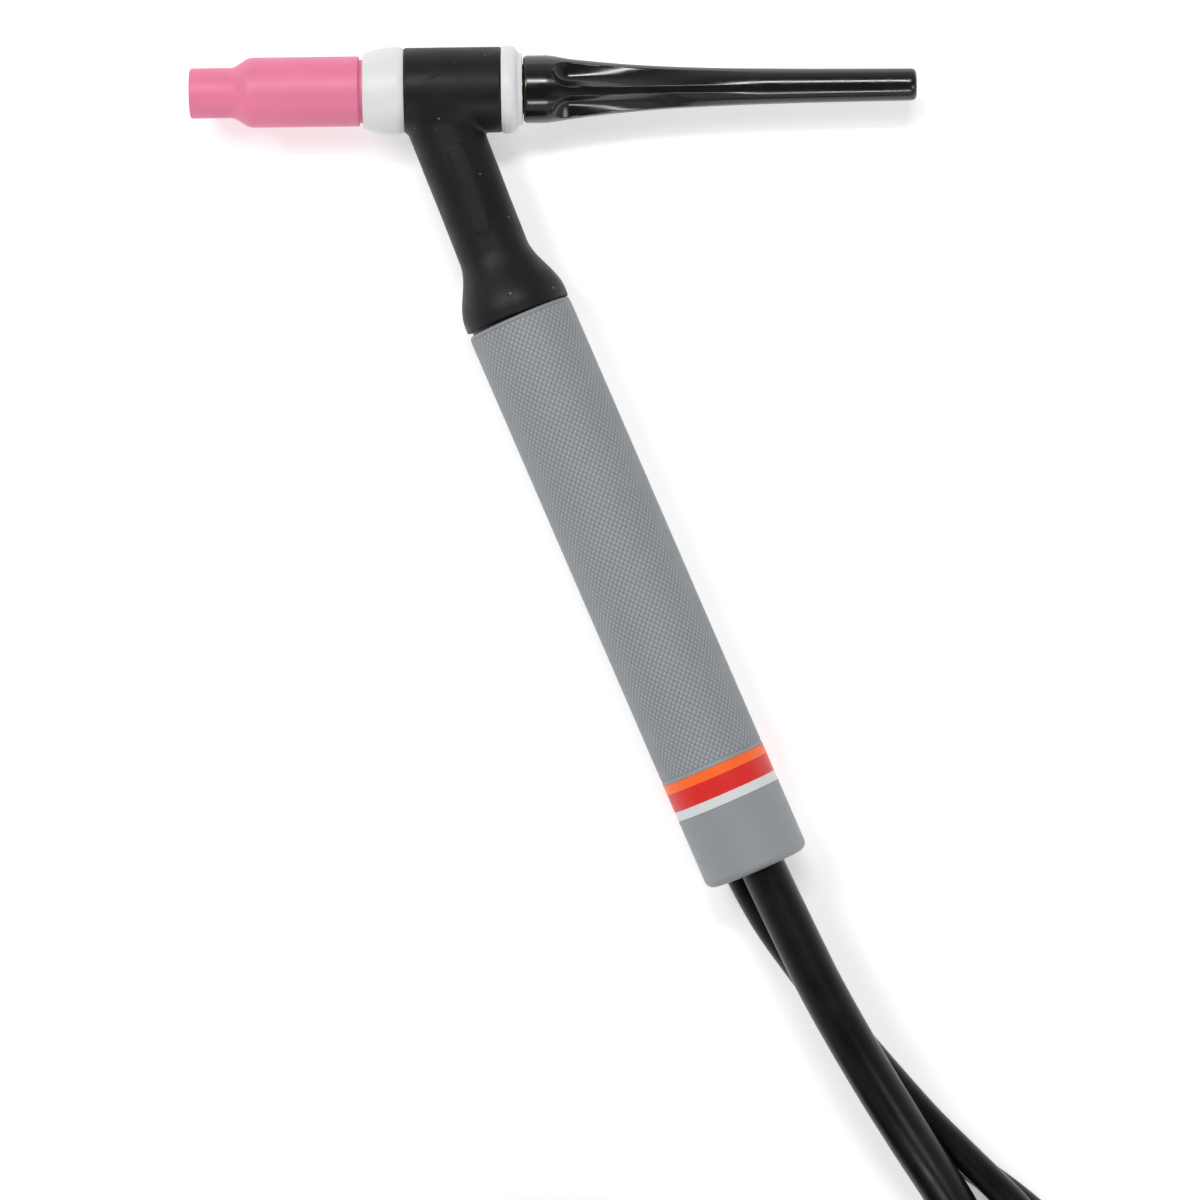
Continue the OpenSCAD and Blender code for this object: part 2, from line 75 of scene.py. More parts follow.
def side_of(direction):
    """The level direction at right angles to a direction, towards the back cap's side."""
    return np.array([-direction[1], direction[0], 0.0])


# Each axis is an origin, the direction along it, and two directions across it.
ON_HEAD = (HEAD, np.array([1.0, 0.0, 0.0]), np.array([0.0, 1.0, 0.0]), UP)
ON_NECK = (HEAD, NECK_DIR, side_of(NECK_DIR), UP)
ON_HANDLE = (JOINT, HANDLE_DIR, side_of(HANDLE_DIR), UP)


def level_axis(point, degrees):
    a = math.radians(degrees)
    d = np.array([math.cos(a), math.sin(a), 0.0])
    return (np.array(point, float), d, side_of(d), UP)


# ---------- camera and light ----------


def make_camera():
    cam = bpy.data.cameras.new("camera")
    cam.lens = 180
    cam.sensor_width = 36
    cam.clip_start, cam.clip_end = 0.05, 20
    cam.dof.use_dof = False
    obj = bpy.data.objects.new("camera", cam)
    obj.location = (0.01062, -0.03514, 1.59325)
    obj.rotation_euler = (0, 0, math.radians(-0.73))
    bpy.context.scene.collection.objects.link(obj)
    bpy.context.scene.camera = obj


def area_light(name, place, aim, size, power, size_y=None):
    light = bpy.data.lights.new(name, "AREA")
    light.energy = power
    light.size = size
    if size_y:
        light.shape = "RECTANGLE"
        light.size_y = size_y
    obj = bpy.data.objects.new(name, light)
    obj.location = place
    obj.rotation_euler = (Vector(aim) - Vector(place)).to_track_quat("-Z", "Y").to_euler()
    bpy.context.scene.collection.objects.link(obj)


def make_world():
    """A white studio that is bright round the sides and dim straight above the object."""
    world = bpy.data.worlds.new("studio")
    world.use_nodes = True
    tree = world.node_tree
    coords = tree.nodes.new("ShaderNodeTexCoord")
    split = tree.nodes.new("ShaderNodeSeparateXYZ")
    ramp = tree.nodes.new("ShaderNodeValToRGB")
    e = ramp.color_ramp.elements
    e[0].position, e[0].color = 0.3, (0.6, 0.6, 0.6, 1)
    e[1].position, e[1].color = 0.85, (0.07, 0.07, 0.07, 1)
    tree.links.new(coords.outputs["Generated"], split.inputs[0])
    tree.links.new(split.outputs["Z"], ramp.inputs["Fac"])
    tree.links.new(ramp.outputs["Color"], tree.nodes["Background"].inputs["Color"])
    tree.nodes["Background"].inputs["Strength"].default_value = WORLD_STRENGTH
    bpy.context.scene.world = world


WORLD_STRENGTH = 1.0
bpy.context.scene.view_settings.view_transform = "Standard"
make_camera()
make_world()
area_light("overhead", (0.02, 0.72, 1.45), (0.02, 0.06, 0), 0.6, 8.5, 0.2)
area_light("low_strip", (0.04, -1.1, 0.98), (0.03, 0.1, 0), 0.5, 3.2, 0.14)
area_light("left", (-0.8, 0.5, 1.3), (0.0, -0.05, 0), 0.5, 9.5)
area_light("right", (0.85, -0.5, 1.3), (0.02, -0.08, 0), 0.5, 4)


# ---------- materials ----------


class Shader:
    """A node material built around one Principled shader."""

    def __init__(self, name, **values):
        self.mat = bpy.data.materials.new(name)
        self.mat.use_nodes = True
        self.tree = self.mat.node_tree
        self.bsdf = self.tree.nodes["Principled BSDF"]
        for key, value in values.items():
            self.bsdf.inputs[key.replace("_", " ")].default_value = value
        self.coords = self.tree.nodes.new("ShaderNodeTexCoord")

    def link(self, a, b):
        self.tree.links.new(a, b)

    def noise(self, scale, detail=3.0, roughness=0.5, source="Object"):
        n = self.tree.nodes.new("ShaderNodeTexNoise")
        n.inputs["Scale"].default_value = scale
        n.inputs["Detail"].default_value = detail
        n.inputs["Roughness"].default_value = roughness
        self.link(self.coords.outputs[source], n.inputs["Vector"])
        return n.outputs["Fac"]

    def spots(self, scale, source="Object"):
        n = self.tree.nodes.new("ShaderNodeTexVoronoi")
        n.inputs["Scale"].default_value = scale
        self.link(self.coords.outputs[source], n.inputs["Vector"])
        return n.outputs["Distance"]

    def ramp(self, fac, stops):
        n = self.tree.nodes.new("ShaderNodeValToRGB")
        e = n.color_ramp.elements
        while len(e) < len(stops):
            e.new(0.5)
        for element, (place, colour) in zip(e, stops):
            element.position = place
            element.color = (*colour, 1) if len(colour) == 3 else colour
        self.link(fac, n.inputs["Fac"])
        return n.outputs["Color"]

    def mix(self, fac, a, b, kind="MIX"):
        n = self.tree.nodes.new("ShaderNodeMix")
        n.data_type = "RGBA"
        n.blend_type = kind
        for socket, value in ((n.inputs[0], fac), (n.inputs[6], a), (n.inputs[7], b)):
            if hasattr(value, "links"):
                self.link(value, socket)
            elif isinstance(value, (int, float)):
                socket.default_value = value
            else:
                socket.default_value = (*value, 1)
        return n.outputs[2]

    def span(self, fac, low, high, low_to, high_to):
        n = self.tree.nodes.new("ShaderNodeMapRange")
        for i, v in enumerate((low, high, low_to, high_to)):
            n.inputs[i + 1].default_value = v
        self.link(fac, n.inputs[0])
        return n.outputs[0]

    def bump(self, height, strength, distance):
        n = self.tree.nodes.new("ShaderNodeBump")
        n.inputs["Strength"].default_value = strength
        n.inputs["Distance"].default_value = distance
        self.link(height, n.inputs["Height"])
        if self.bsdf.inputs["Normal"].links:
            self.link(self.bsdf.inputs["Normal"].links[0].from_socket, n.inputs["Normal"])
        self.link(n.outputs[0], self.bsdf.inputs["Normal"])

    def attribute(self, name):
        n = self.tree.nodes.new("ShaderNodeAttribute")
        n.attribute_name = name
        return n.outputs["Fac"]

    def set(self, name, output):
        self.link(output, self.bsdf.inputs[name])


def linear(r, g, b):
    """Linear colour of an 8-bit display colour."""
    return tuple(c / 255 / 12.92 if c <= 10 else ((c / 255 + 0.055) / 1.055) ** 2.4 for c in (r, g, b))


def ceramic():
    s = Shader("ceramic", Roughness=0.5, Coat_Weight=0.12, Coat_Roughness=0.35)
    base = s.mix(s.noise(220, 4), linear(224, 113, 148), linear(230, 124, 158))
    grain = s.ramp(s.spots(900), [(0.0, (0.72, 0.72, 0.72)), (0.12, (1, 1, 1))])
    cloud = s.ramp(s.noise(60, 2), [(0.42, (0.96, 0.95, 0.95)), (0.6, (1, 1, 1))])
    s.set("Base Color", s.mix(0.35, s.mix(1.0, base, cloud, "MULTIPLY"), grain, "MULTIPLY"))
    s.set("Roughness", s.span(s.noise(400), 0, 1, 0.4, 0.62))
    s.bump(s.noise(2600, 4), 0.12, 0.00004)
    return s.mat


def white_insulator():
    s = Shader("white_insulator", Roughness=0.42)
    base = s.mix(s.noise(90, 3), linear(214, 216, 217), linear(221, 222, 223))
    specks = s.ramp(s.spots(420), [(0.0, (0.62, 0.6, 0.58)), (0.07, (1, 1, 1))])
    s.set("Base Color", s.mix(0.5, base, specks, "MULTIPLY"))
    s.set("Roughness", s.span(s.noise(500), 0, 1, 0.34, 0.52))
    s.bump(s.noise(1500, 3), 0.08, 0.00003)
    return s.mat


def rubber(name, dark, light, rough, dust=0.0, grain=900):
    s = Shader(name, Roughness=rough, Specular_IOR_Level=0.24)
    base = s.mix(s.ramp(s.noise(45, 4), [(0.35, (0, 0, 0)), (0.7, (1, 1, 1))]), dark, light)
    if dust:
        specks = s.ramp(s.spots(300), [(0.06, (1, 1, 1)), (0.1, (0, 0, 0))])
        patch = s.ramp(s.noise(70, 3), [(0.5, (0, 0, 0)), (0.56, (1, 1, 1))])
        mask = s.mix(1.0, specks, patch, "MULTIPLY")
        base = s.mix(s.mix(dust, (0, 0, 0), mask), base, linear(150, 150, 140))
    s.set("Base Color", base)
    s.set("Roughness", s.span(s.noise(130, 4), 0.3, 0.7, rough - 0.06, rough + 0.08))
    s.bump(s.noise(grain, 4), 0.12, 0.00005)
    return s.mat


def cap_plastic():
    s = Shader("cap_plastic", Roughness=0.15, Specular_IOR_Level=0.6)
    s.set("Base Color", s.mix(s.noise(60, 3), (0.0035, 0.0035, 0.0037), (0.0075, 0.0075, 0.008)))
    s.set("Roughness", s.span(s.noise(240, 5), 0.35, 0.7, 0.14, 0.23))
    s.bump(s.noise(320, 2), 0.1, 0.00008)
    return s.mat


def handle_plastic():
    s = Shader("handle_plastic", Roughness=0.5)
    base = s.mix(s.noise(50, 4), linear(134, 138, 142), linear(142, 146, 150))
    # Painted shade and painted highlight on the dotted field: the colour darkens to 0.7 where the surface
    # dips between the raised dots and brightens to 1.2 on their tops.
    dot_shade_stops = [(0.0, (0.7, 0.7, 0.71)), (0.35, (0.98, 0.98, 0.98)), (0.9, (1.2, 1.2, 1.2))]
    painted_dot_shading = s.ramp(s.attribute("dot"), dot_shade_stops)
    base = s.mix(1.0, base, painted_dot_shading, "MULTIPLY")
    scuffs = s.ramp(s.spots(260), [(0.0, (1, 1, 1)), (0.05, (0, 0, 0))])
    patch = s.ramp(s.noise(110, 2), [(0.56, (0, 0, 0)), (0.62, (1, 1, 1))])
    base = s.mix(s.mix(1.0, scuffs, patch, "MULTIPLY"), base, linear(190, 194, 198))
    s.set("Base Color", base)
    s.set("Roughness", s.span(s.noise(300, 3), 0.3, 0.7, 0.42, 0.58))
    s.bump(s.noise(1700, 3), 0.15, 0.00004)
    return s.mat


def band_vinyl():
    s = Shader("band_vinyl", Roughness=0.42, Coat_Weight=0.08, Coat_Roughness=0.3, Specular_IOR_Level=0.35)
    bands = s.ramp(s.attribute("along"), [
        (0.0, linear(250, 104, 36)), (0.255, linear(214, 36, 32)), (0.745, linear(212, 214, 216))])
    for n in s.tree.nodes:
        if n.type == "VALTORGB":
            n.color_ramp.interpolation = "CONSTANT"
    s.set("Base Color", s.mix(s.noise(300, 3), bands, s.mix(0.06, bands, (0.1, 0.02, 0.02))))
    s.set("Roughness", s.span(s.noise(200, 3), 0.3, 0.7, 0.36, 0.5))
    s.bump(s.noise(700, 2), 0.1, 0.00003)
    return s.mat


def metal(name, low, high, rough, scale=500, grain=0.15):
    s = Shader(name, Metallic=1.0, Roughness=rough)
    s.set("Base Color", s.mix(s.noise(scale / 4, 4), low, high))
    s.set("Roughness", s.span(s.noise(scale, 4), 0.3, 0.7, rough - 0.08, rough + 0.12))
    s.bump(s.noise(scale * 3, 3), grain, 0.00003)
    return s.mat


def woven_tape():
    s = Shader("tie_strap", Roughness=0.9, Sheen_Weight=0.3)
    s.set("Base Color", s.mix(s.noise(900, 3), (0.02, 0.02, 0.022), (0.05, 0.05, 0.054)))
    s.set("Roughness", s.span(s.noise(400, 2), 0, 1, 0.8, 0.95))
    s.bump(s.noise(2200, 2), 0.6, 0.0002)
    return s.mat


def tungsten():
    s = Shader("tungsten", Metallic=1.0, Roughness=0.3)
    s.set("Base Color", s.mix(s.noise(300, 4), (0.28, 0.28, 0.29), (0.4, 0.4, 0.41)))
    s.set("Roughness", s.span(s.noise(900, 4), 0.3, 0.7, 0.24, 0.42))
    s.bump(s.noise(3000, 2), 0.2, 0.00002)
    return s.mat


MATERIALS = {
    "ceramic": ceramic(),
    "white_insulator": white_insulator(),
    "rubber": rubber("rubber", (0.0045, 0.0045, 0.005), (0.0085, 0.0085, 0.0092), 0.46, dust=0.6),
    "handle_plastic": handle_plastic(),
    "band_vinyl": band_vinyl(),
    "cap_plastic": cap_plastic(),
    "copper": metal("copper", (0.55, 0.22, 0.12), (0.72, 0.36, 0.22), 0.35),
    "tungsten": tungsten(),
    "brass": metal("brass", (0.56, 0.39, 0.15), (0.74, 0.54, 0.24), 0.28),
    "ferrule_steel": metal("ferrule_steel", (0.5, 0.5, 0.51), (0.68, 0.68, 0.69), 0.32),
    "seal_rubber": rubber("seal_rubber", (0.01, 0.01, 0.01), (0.02, 0.02, 0.02), 0.55),
    "power_hose": rubber("power_hose", (0.0035, 0.0035, 0.0038), (0.0065, 0.0065, 0.007), 0.3, grain=500),
    "gas_hose": rubber("gas_hose", (0.0035, 0.0035, 0.0038), (0.0065, 0.0065, 0.007), 0.28, grain=600),
    "water_hose": rubber("water_hose", (0.0035, 0.0035, 0.0038), (0.0065, 0.0065, 0.007), 0.27, grain=600),
    "tie_strap": woven_tape(),
}


# ---------- meshes ----------


def make_object(name, verts, faces, slot, body, smooth=True, sharp_deg=35):
    mesh = bpy.data.meshes.new(name)
    mesh.from_pydata((np.asarray(verts, float) * MM).tolist(), [], faces)
    mesh.validate()
    mesh.polygons.foreach_set("use_smooth", [smooth] * len(mesh.polygons))
    if smooth and sharp_deg:
        mesh.set_sharp_from_angle(angle=math.radians(sharp_deg))
    mesh.materials.append(MATERIALS[slot])
    obj = bpy.data.objects.new(name, mesh)
    bpy.context.scene.collection.objects.link(obj)
    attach(obj, body)
    return obj


def grid_faces(rows, cols, close_rows=False, start=0):
    """Quads of a grid whose columns wrap round."""
    faces = []
    for i in range(rows - 1 + close_rows):
        a, b = start + i * cols, start + (i + 1) % rows * cols
        for k in range(cols):
            n = (k + 1) % cols
            faces.append((a + k, a + n, b + n, b + k))
    return faces


def place(axis, along, across, up):
    """Points in millimetres, from distances along an axis and across it."""
    o, d, s, u = axis
    along, across, up = np.broadcast_arrays(along, across, up)
    return o + along[..., None] * d + across[..., None] * s + up[..., None] * u


def revolve(axis, profile, sides=128, shape=None):
    """A closed profile of (radius, distance) turned about an axis: vertices and faces.
    shape(radius, distance, angle) gives the radius where it isn't round."""
    p = np.array(profile, float)
    a = np.linspace(0, 2 * math.pi, sides, endpoint=False)
    r, z = p[:, 0][:, None] + 0 * a, p[:, 1][:, None] + 0 * a
    if shape:
        r = shape(r, z, a + 0 * r)
    pts = place(axis, z, r * np.cos(a), r * np.sin(a)).reshape(-1, 3)
    return pts, grid_faces(len(p), sides, close_rows=True)


def arc(r, z, radius, start, end, n=6):
    """Profile points round part of a circle, in degrees from outward towards the axis' end."""
    t = np.radians(np.linspace(start, end, n + 1))
    return [(r + radius * math.cos(x), z + radius * math.sin(x)) for x in t]


def s_curve(r0, z0, r1, z1, n=14):
    """Profile points that ease from one radius to another."""
    ease = [(1 - math.cos(math.pi * i / n)) / 2 for i in range(n + 1)]
    return [(r0 + (r1 - r0) * e, z0 + (z1 - z0) * i / n) for i, e in enumerate(ease)]


def line(r0, z0, r1, z1, n):
    return [(r0 + (r1 - r0) * i / n, z0 + (z1 - z0) * i / n) for i in range(n + 1)]


def join(*parts):
    """Several pairs of vertices and faces as one."""
    verts, faces, n = [], [], 0
    for v, f in parts:
        verts.append(np.asarray(v, float))
        faces += [tuple(i + n for i in q) for q in f]
        n += len(v)
    return np.concatenate(verts), faces


# ---------- cords ----------

POWER_LEAD = [
    (42.5, -82.7, 19.4), (47.5, -94.3, 19.5), (52.4, -105.8, 19.6), (59.4, -121, 20.7),
    (67.3, -137.5, 22), (75, -151.7, 22.3), (83, -165.5, 21.3), (91, -178.5, 19.2),
    (98.6, -190.5, 15.5), (104.6, -201, 11.5), (109, -213, 8.3), (110.8, -226, 6.6),
    (110.6, -240, 6.2), (107.5, -256, 6.2), (102, -273, 6.6), (96, -290, 7.2), (89, -308.9, 7.2)]
GAS_LEAD = [
    (46.2, -81.1, 8.8), (50, -93.2, 8.2), (53.7, -105.3, 7.6), (60, -121, 5.6),
    (67.5, -137.5, 4.1), (76, -152.5, 4), (85, -164.7, 4), (94, -175, 4), (101, -181.8, 4),
    (108.5, -187.4, 4), (115.5, -192.5, 4), (122.6, -198.3, 4), (128.5, -203.8, 4),
    (132.7, -210, 4), (136, -218.5, 4), (137.4, -229, 4), (137.4, -245, 4), (137.2, -265, 4),
    (136.6, -290, 4), (135.6, -320, 4), (134.8, -350, 4), (134.1, -380, 4), (133.6, -405, 4.6),
    (133.4, -430, 5.2)]
WATER_LEAD = [
    (36.4, -85.2, 9.6), (41.6, -96.7, 10.6), (46.8, -108.2, 11.5), (53.6, -120.7, 12.1),
    (60, -130, 12.2), (68, -140.7, 12.2), (76.4, -151, 12.2), (85.5, -161.8, 12.2),
    (95, -172.7, 12.2), (105.3, -183.2, 12.2), (112.5, -190.4, 12.2), (118.8, -197, 12),
    (123, -202.7, 11.7), (126.5, -209.5, 10.8), (128.6, -217.5, 8.8), (129.3, -227, 6.2),
    (129.3, -240, 4.2), (129, -265, 4), (128, -290, 4), (127, -310, 4.1), (126.8, -325, 5.6),
    (127.3, -340, 9), (129, -355, 14.2), (131.3, -370, 21), (133.4, -385, 28.5),
    (135.2, -399, 35.2), (136.4, -413, 37.2), (136.9, -430, 37.2)]
POWER_TAIL = [
    (-14, -328.5, 31.2), (-27.5, -317, 32.4), (-36, -301, 34.6), (-38.4, -283, 37.8),
    (-33.5, -263, 41.4), (-21, -244.5, 45.2), (-3, -231.5, 49), (12, -226, 51.4),
    (26.1, -226.7, 52.2), (46, -236, 52.2)]
GAS_TAIL = [
    (74, -489.4, 29.2), (62, -489.2, 28.4), (50, -487, 25.6), (37, -481.5, 20.5),
    (24, -475.2, 14.6), (10.8, -469.4, 11.3), (-5, -463, 11.2)]
WATER_TAIL = [
    (42, -430, 53.2), (43.5, -417.5, 54.4), (49, -404.5, 56.8), (60.5, -394, 60.6),
    (73, -389.5, 64), (85, -389.5, 67), (96, -394, 68.5), (108, -406, 68.5)]


def coil_points(centre, start_deg, radii, layer_deg, from_z, rise, climb_deg=90):
    """Clockwise spirals through the radii, one layer each, with a climb between layers."""
    pts, angle, z = [], start_deg, from_z
    for i in range(len(radii) - 1):
        n = max(2, round(layer_deg / 9))
        for k in range(n + 1):
            a = math.radians(angle - layer_deg * k / n)
            r = radii[i] + (radii[i + 1] - radii[i]) * k / n
            pts.append((centre[0] + r * math.cos(a), centre[1] + r * math.sin(a), z))
        angle -= layer_deg
        if i < len(radii) - 2:
            for k in range(1, 10):
                f = k / 10
                a = math.radians(angle - climb_deg * f)
                pts.append((centre[0] + radii[i + 1] * math.cos(a), centre[1] + radii[i + 1] * math.sin(a),
                            z + rise * (1 - math.cos(math.pi * f)) / 2))
            angle -= climb_deg
            z += rise
    return pts


def smooth_path(points, step):
    """A centripetal Catmull-Rom curve through the points, resampled evenly."""
    p = [np.array(points[0], float)]
    for q in points[1:]:
        if np.linalg.norm(np.array(q) - p[-1]) > 0.5:
            p.append(np.array(q, float))
    p = [2 * p[0] - p[1]] + p + [2 * p[-1] - p[-2]]
    out = []
    for i in range(1, len(p) - 2):
        a, b, c, d = p[i - 1:i + 3]
        t = np.cumsum([0] + [math.sqrt(np.linalg.norm(x)) for x in (b - a, c - b, d - c)])
        for s in np.linspace(t[1], t[2], 12, endpoint=False):
            q1 = (t[1] - s) / (t[1] - t[0]) * a + (s - t[0]) / (t[1] - t[0]) * b
            q2 = (t[2] - s) / (t[2] - t[1]) * b + (s - t[1]) / (t[2] - t[1]) * c
            q3 = (t[3] - s) / (t[3] - t[2]) * c + (s - t[2]) / (t[3] - t[2]) * d
            r1 = (t[2] - s) / (t[2] - t[0]) * q1 + (s - t[0]) / (t[2] - t[0]) * q2
            r2 = (t[3] - s) / (t[3] - t[1]) * q2 + (s - t[1]) / (t[3] - t[1]) * q3
            out.append((t[2] - s) / (t[2] - t[1]) * r1 + (s - t[1]) / (t[2] - t[1]) * r2)
    out.append(p[-2])
    out = np.array(out)
    run = np.concatenate([[0], np.cumsum(np.linalg.norm(np.diff(out, axis=0), axis=1))])
    at = np.linspace(0, run[-1], int(run[-1] / step) + 1)
    return np.stack([np.interp(at, run, out[:, k]) for k in range(3)], 1), run[-1]


def hose(name, points, diameter, slot, node_names, exit_point, sides=28):
    """A round hose along the points, from where it leaves the handle to its far end."""
    path, length = smooth_path(points, 3.0)
    tangent = np.gradient(path, axis=0)
    tangent /= np.linalg.norm(tangent, axis=1)[:, None]
    side = np.cross(UP, tangent)
    side /= np.linalg.norm(side, axis=1)[:, None]
    up = np.cross(tangent, side)
    a = np.linspace(0, 2 * math.pi, sides, endpoint=False)
    r = diameter / 2
    round_it = np.cos(a)[None, :, None] * side[:, None] + np.sin(a)[None, :, None] * up[:, None]
    verts = (path[:, None] + r * round_it).reshape(-1, 3)
    faces = grid_faces(len(path), sides)
    faces.append(tuple(range(sides - 1, -1, -1)))
    faces.append(tuple(range(len(verts) - sides, len(verts))))
    obj = make_object(name, verts, faces, slot, "torch", sharp_deg=60)
    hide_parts(*node_names)
    print(name, round(length, 1), "mm")
    return obj


POWER_COIL = coil_points((10, -287), -15.5, [82, 48, 82, 48], 934.8, 7.2, 12)
GAS_COIL = coil_points((74, -430), 0, [59.4, 36, 59.4, 36, 59.4], 945, 5.2, 8)
WATER_COIL = coil_points((74, -430), 0, [62.9, 32, 62.9, 32], 1320, 37.2, 8)


def handle_point(d, across=0.0, up=0.0):
    return place(ON_HANDLE, np.array(d), np.array(across), np.array(up))


# ---------- far ends ----------

# Each end: its point, direction, hose radius, ferrule length, where the nut starts, the lengths of its
# hexagon and thread, the thread's radius, the width across flats, the nipple's two radii and the pitch.
ENDS = {
    "power": (POWER_TAIL[-1], -25, 6, 20, 3, 11, 13, 11.11, 25.4, 3, 7.6, 1.81),
    "gas": (GAS_TAIL[-1], 158, 4, 15, 2, 8, 11, 7.94, 19.05, 2, 5.2, 1.41),
    "water": (WATER_TAIL[-1], -45, 4, 15, 2, 8, 11, 7.94, 19.05, 2, 5.2, 1.41),
}


def crimped_ferrule(axis, hose_r, length):
    """A steel sleeve with a rolled lip at each end and three bands pressed into eight flats."""
    outer = hose_r + 0.8
    profile = [(hose_r + 0.02, -length), (outer - 0.25, -length)]
    profile += arc(outer - 0.3, -length + 0.3, 0.3, -90, 0, 4)
    profile += line(outer, -length + 0.8, outer, 0.6, 60)
    profile += arc(outer - 0.5, 1.0, 0.5, 0, 90, 4) + [(hose_r / 2, 1.5), (hose_r / 2, 0), (hose_r + 0.02, 0)]

    def pressed(r, z, a):
        band = np.clip(1.6 * np.sin((z + length) / length * 3 * math.pi) ** 2 - 0.5, 0, 1)
        flat = 0.5 + 0.5 * np.cos(8 * a)
        outside = r > outer - 0.15
        return r - np.where(outside, 0.55 * band * flat, 0)

    return revolve(axis, profile, 96, pressed)


def hexagon_nut(axis, start, length, flats, bore):
    """A hexagon with both faces' corners turned off, and a bore."""
    n = 96
    a = np.linspace(0, 2 * math.pi, n, endpoint=False)
    local = (a + math.pi / 6) % (math.pi / 3) - math.pi / 6
    hexr = flats / 2 / np.cos(local)
    rows = []
    for z, cut in ((0, 0.94), (0.5, 1.0), (1.1, 1.07), (1.8, 1.2), (length - 1.8, 1.2), (length - 1.1, 1.07),
                   (length - 0.5, 1.0), (length, 0.94)):
        rows.append((z, np.minimum(hexr, flats / 2 * cut)))
    pts = [place(axis, np.full(n, start + z), -r * np.sin(a), r * np.cos(a)) for z, r in rows]
    pts.append(place(axis, np.full(n, start + length), -bore * np.sin(a), bore * np.cos(a)))
    pts.append(place(axis, np.full(n, start), -bore * np.sin(a), bore * np.cos(a)))
    return np.concatenate(pts), grid_faces(len(pts), n, close_rows=True)


def threaded_sleeve(axis, start, length, outer, bore, pitch):
    """An outer thread on a sleeve, running out at both ends."""
    n, per = 72, 10
    steps = int(length / pitch * per)
    zs = np.linspace(0, length, steps + 1)
    a = np.linspace(0, 2 * math.pi, n, endpoint=False)
    z, ang = np.meshgrid(zs, a, indexing="ij")
    phase = (z / pitch + ang / (2 * math.pi)) % 1
    depth = 0.6 * pitch * np.clip(1.3 * np.abs(2 * phase - 1) - 0.15, 0, 1)
    fade = np.clip(np.minimum(z / pitch, (length - z) / pitch), 0, 1)
    r = outer - depth * fade - (1 - fade) * 0.6 * pitch
    body = place(axis, start + z, r * np.cos(ang), r * np.sin(ang)).reshape(-1, 3)
    inner = [place(axis, np.full(n, start + zz), bore * np.cos(a), bore * np.sin(a)) for zz in (length, 0)]
    verts = np.concatenate([body] + inner)
    return verts, grid_faces(steps + 3, n, close_rows=True)


def make_ends():
    """The crimped ferrule and the spinning nut at each hose's far end."""
    made = {}
    for key, sizes in ENDS.items():
        point, turn, hose_r, cover, nut_at, hex_len, thread_len, thread_r, flats, stem, head, pitch = sizes
        axis = level_axis(point, turn)
        sleeve = crimped_ferrule(axis, hose_r, cover)
        ferrule = make_object(key + "_end_ferrule_crimped", *sleeve, "ferrule_steel", "torch")
        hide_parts(key + "_end_ferrule")
        hexagon = hexagon_nut(axis, nut_at, hex_len, flats, stem + 0.05)
        thread = threaded_sleeve(axis, nut_at + hex_len - 0.1, thread_len + 0.1, thread_r, head + 0.05, pitch)
        whole = join(hexagon, thread)
        nut = make_object(key + "_end_nut_threaded", *whole, "brass", key + "_nut", sharp_deg=28)
        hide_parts(key + "_end_nut")
        made[key] = [ferrule, nut, nodes[key + "_end_nipple"]]
    return made


end_pieces = make_ends()


def rounded_loop(inner, outer, bottom, top):
    """The line round a coil's section, as (radius, height) pairs with rounded corners."""
    loop = []
    corners = [(inner, bottom, -1, -1), (outer, bottom, 1, -1), (outer, top, 1, 1), (inner, top, -1, 1)]
    for i, (r, z, out, up) in enumerate(corners):
        for k in range(5):
            a = math.radians([180, 270, 0, 90][i] + 90 * k / 4)
            loop.append((r + 0.6 * out + 1.2 * (math.cos(a) - out), z + 0.6 * up + 1.2 * (math.sin(a) - up)))
    return loop


def tape(at, turn, loop, half=8.0, thick=0.5):
    """A flat tape round a coil's section, at a turn about the coil's centre: vertices and faces."""
    t = math.radians(turn)
    radial, along = np.array([math.cos(t), math.sin(t), 0]), np.array([-math.sin(t), math.cos(t), 0])
    centre = np.array([at[0], at[1], 0.0])
    n, widths = len(loop), np.linspace(-half, half, 9)
    m = len(widths)
    verts = []
    for sign in (1, -1):
        for w in widths:
            for i, (r, z) in enumerate(loop):
                prev, nxt = loop[i - 1], loop[(i + 1) % n]
                d = np.array([nxt[0] - prev[0], nxt[1] - prev[1]])
                d /= np.linalg.norm(d)
                edge = sign * thick * (1 - 0.25 * (abs(w) > half - 1))
                rr, zz = r + d[1] * edge, z - d[0] * edge
                bend = math.sqrt(max(rr * rr - w * w, 0)) if rr > abs(w) else rr
                verts.append(centre + bend * radial + w * along + zz * UP)
    faces = []
    for side in (0, 1):
        for j in range(m - 1):
            first, second = side * m * n + j * n, side * m * n + (j + 1) * n
            for i in range(n):
                k = (i + 1) % n
                q = (first + i, first + k, second + k, second + i)
                faces.append(q if side else q[::-1])
    for j in (0, m - 1):
        for i in range(n):
            k = (i + 1) % n
            q = (j * n + i, j * n + k, m * n + j * n + k, m * n + j * n + i)
            faces.append(q if j == 0 else q[::-1])
    return np.array(verts), faces


def strap(name, at, inner, outer, top, turns, node_name):
    """Tape ties round the whole section of a coil."""
    loop = rounded_loop(inner, outer, 1.25, top)
    parts = [tape(at, turn, loop) for turn in turns]
    obj = make_object(name, *join(*parts), "tie_strap", "torch", sharp_deg=50)
    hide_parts(node_name)
    return obj


power_ties = strap("power_coil_straps", (10, -287), 42, 88, 37.2, (80, 258, 325), "power_coil_ties")
small_ties = strap("gas_water_coil_straps", (74, -430), 28, 66.9, 57.2, (70, 205, 290), "gas_water_coil_ties")

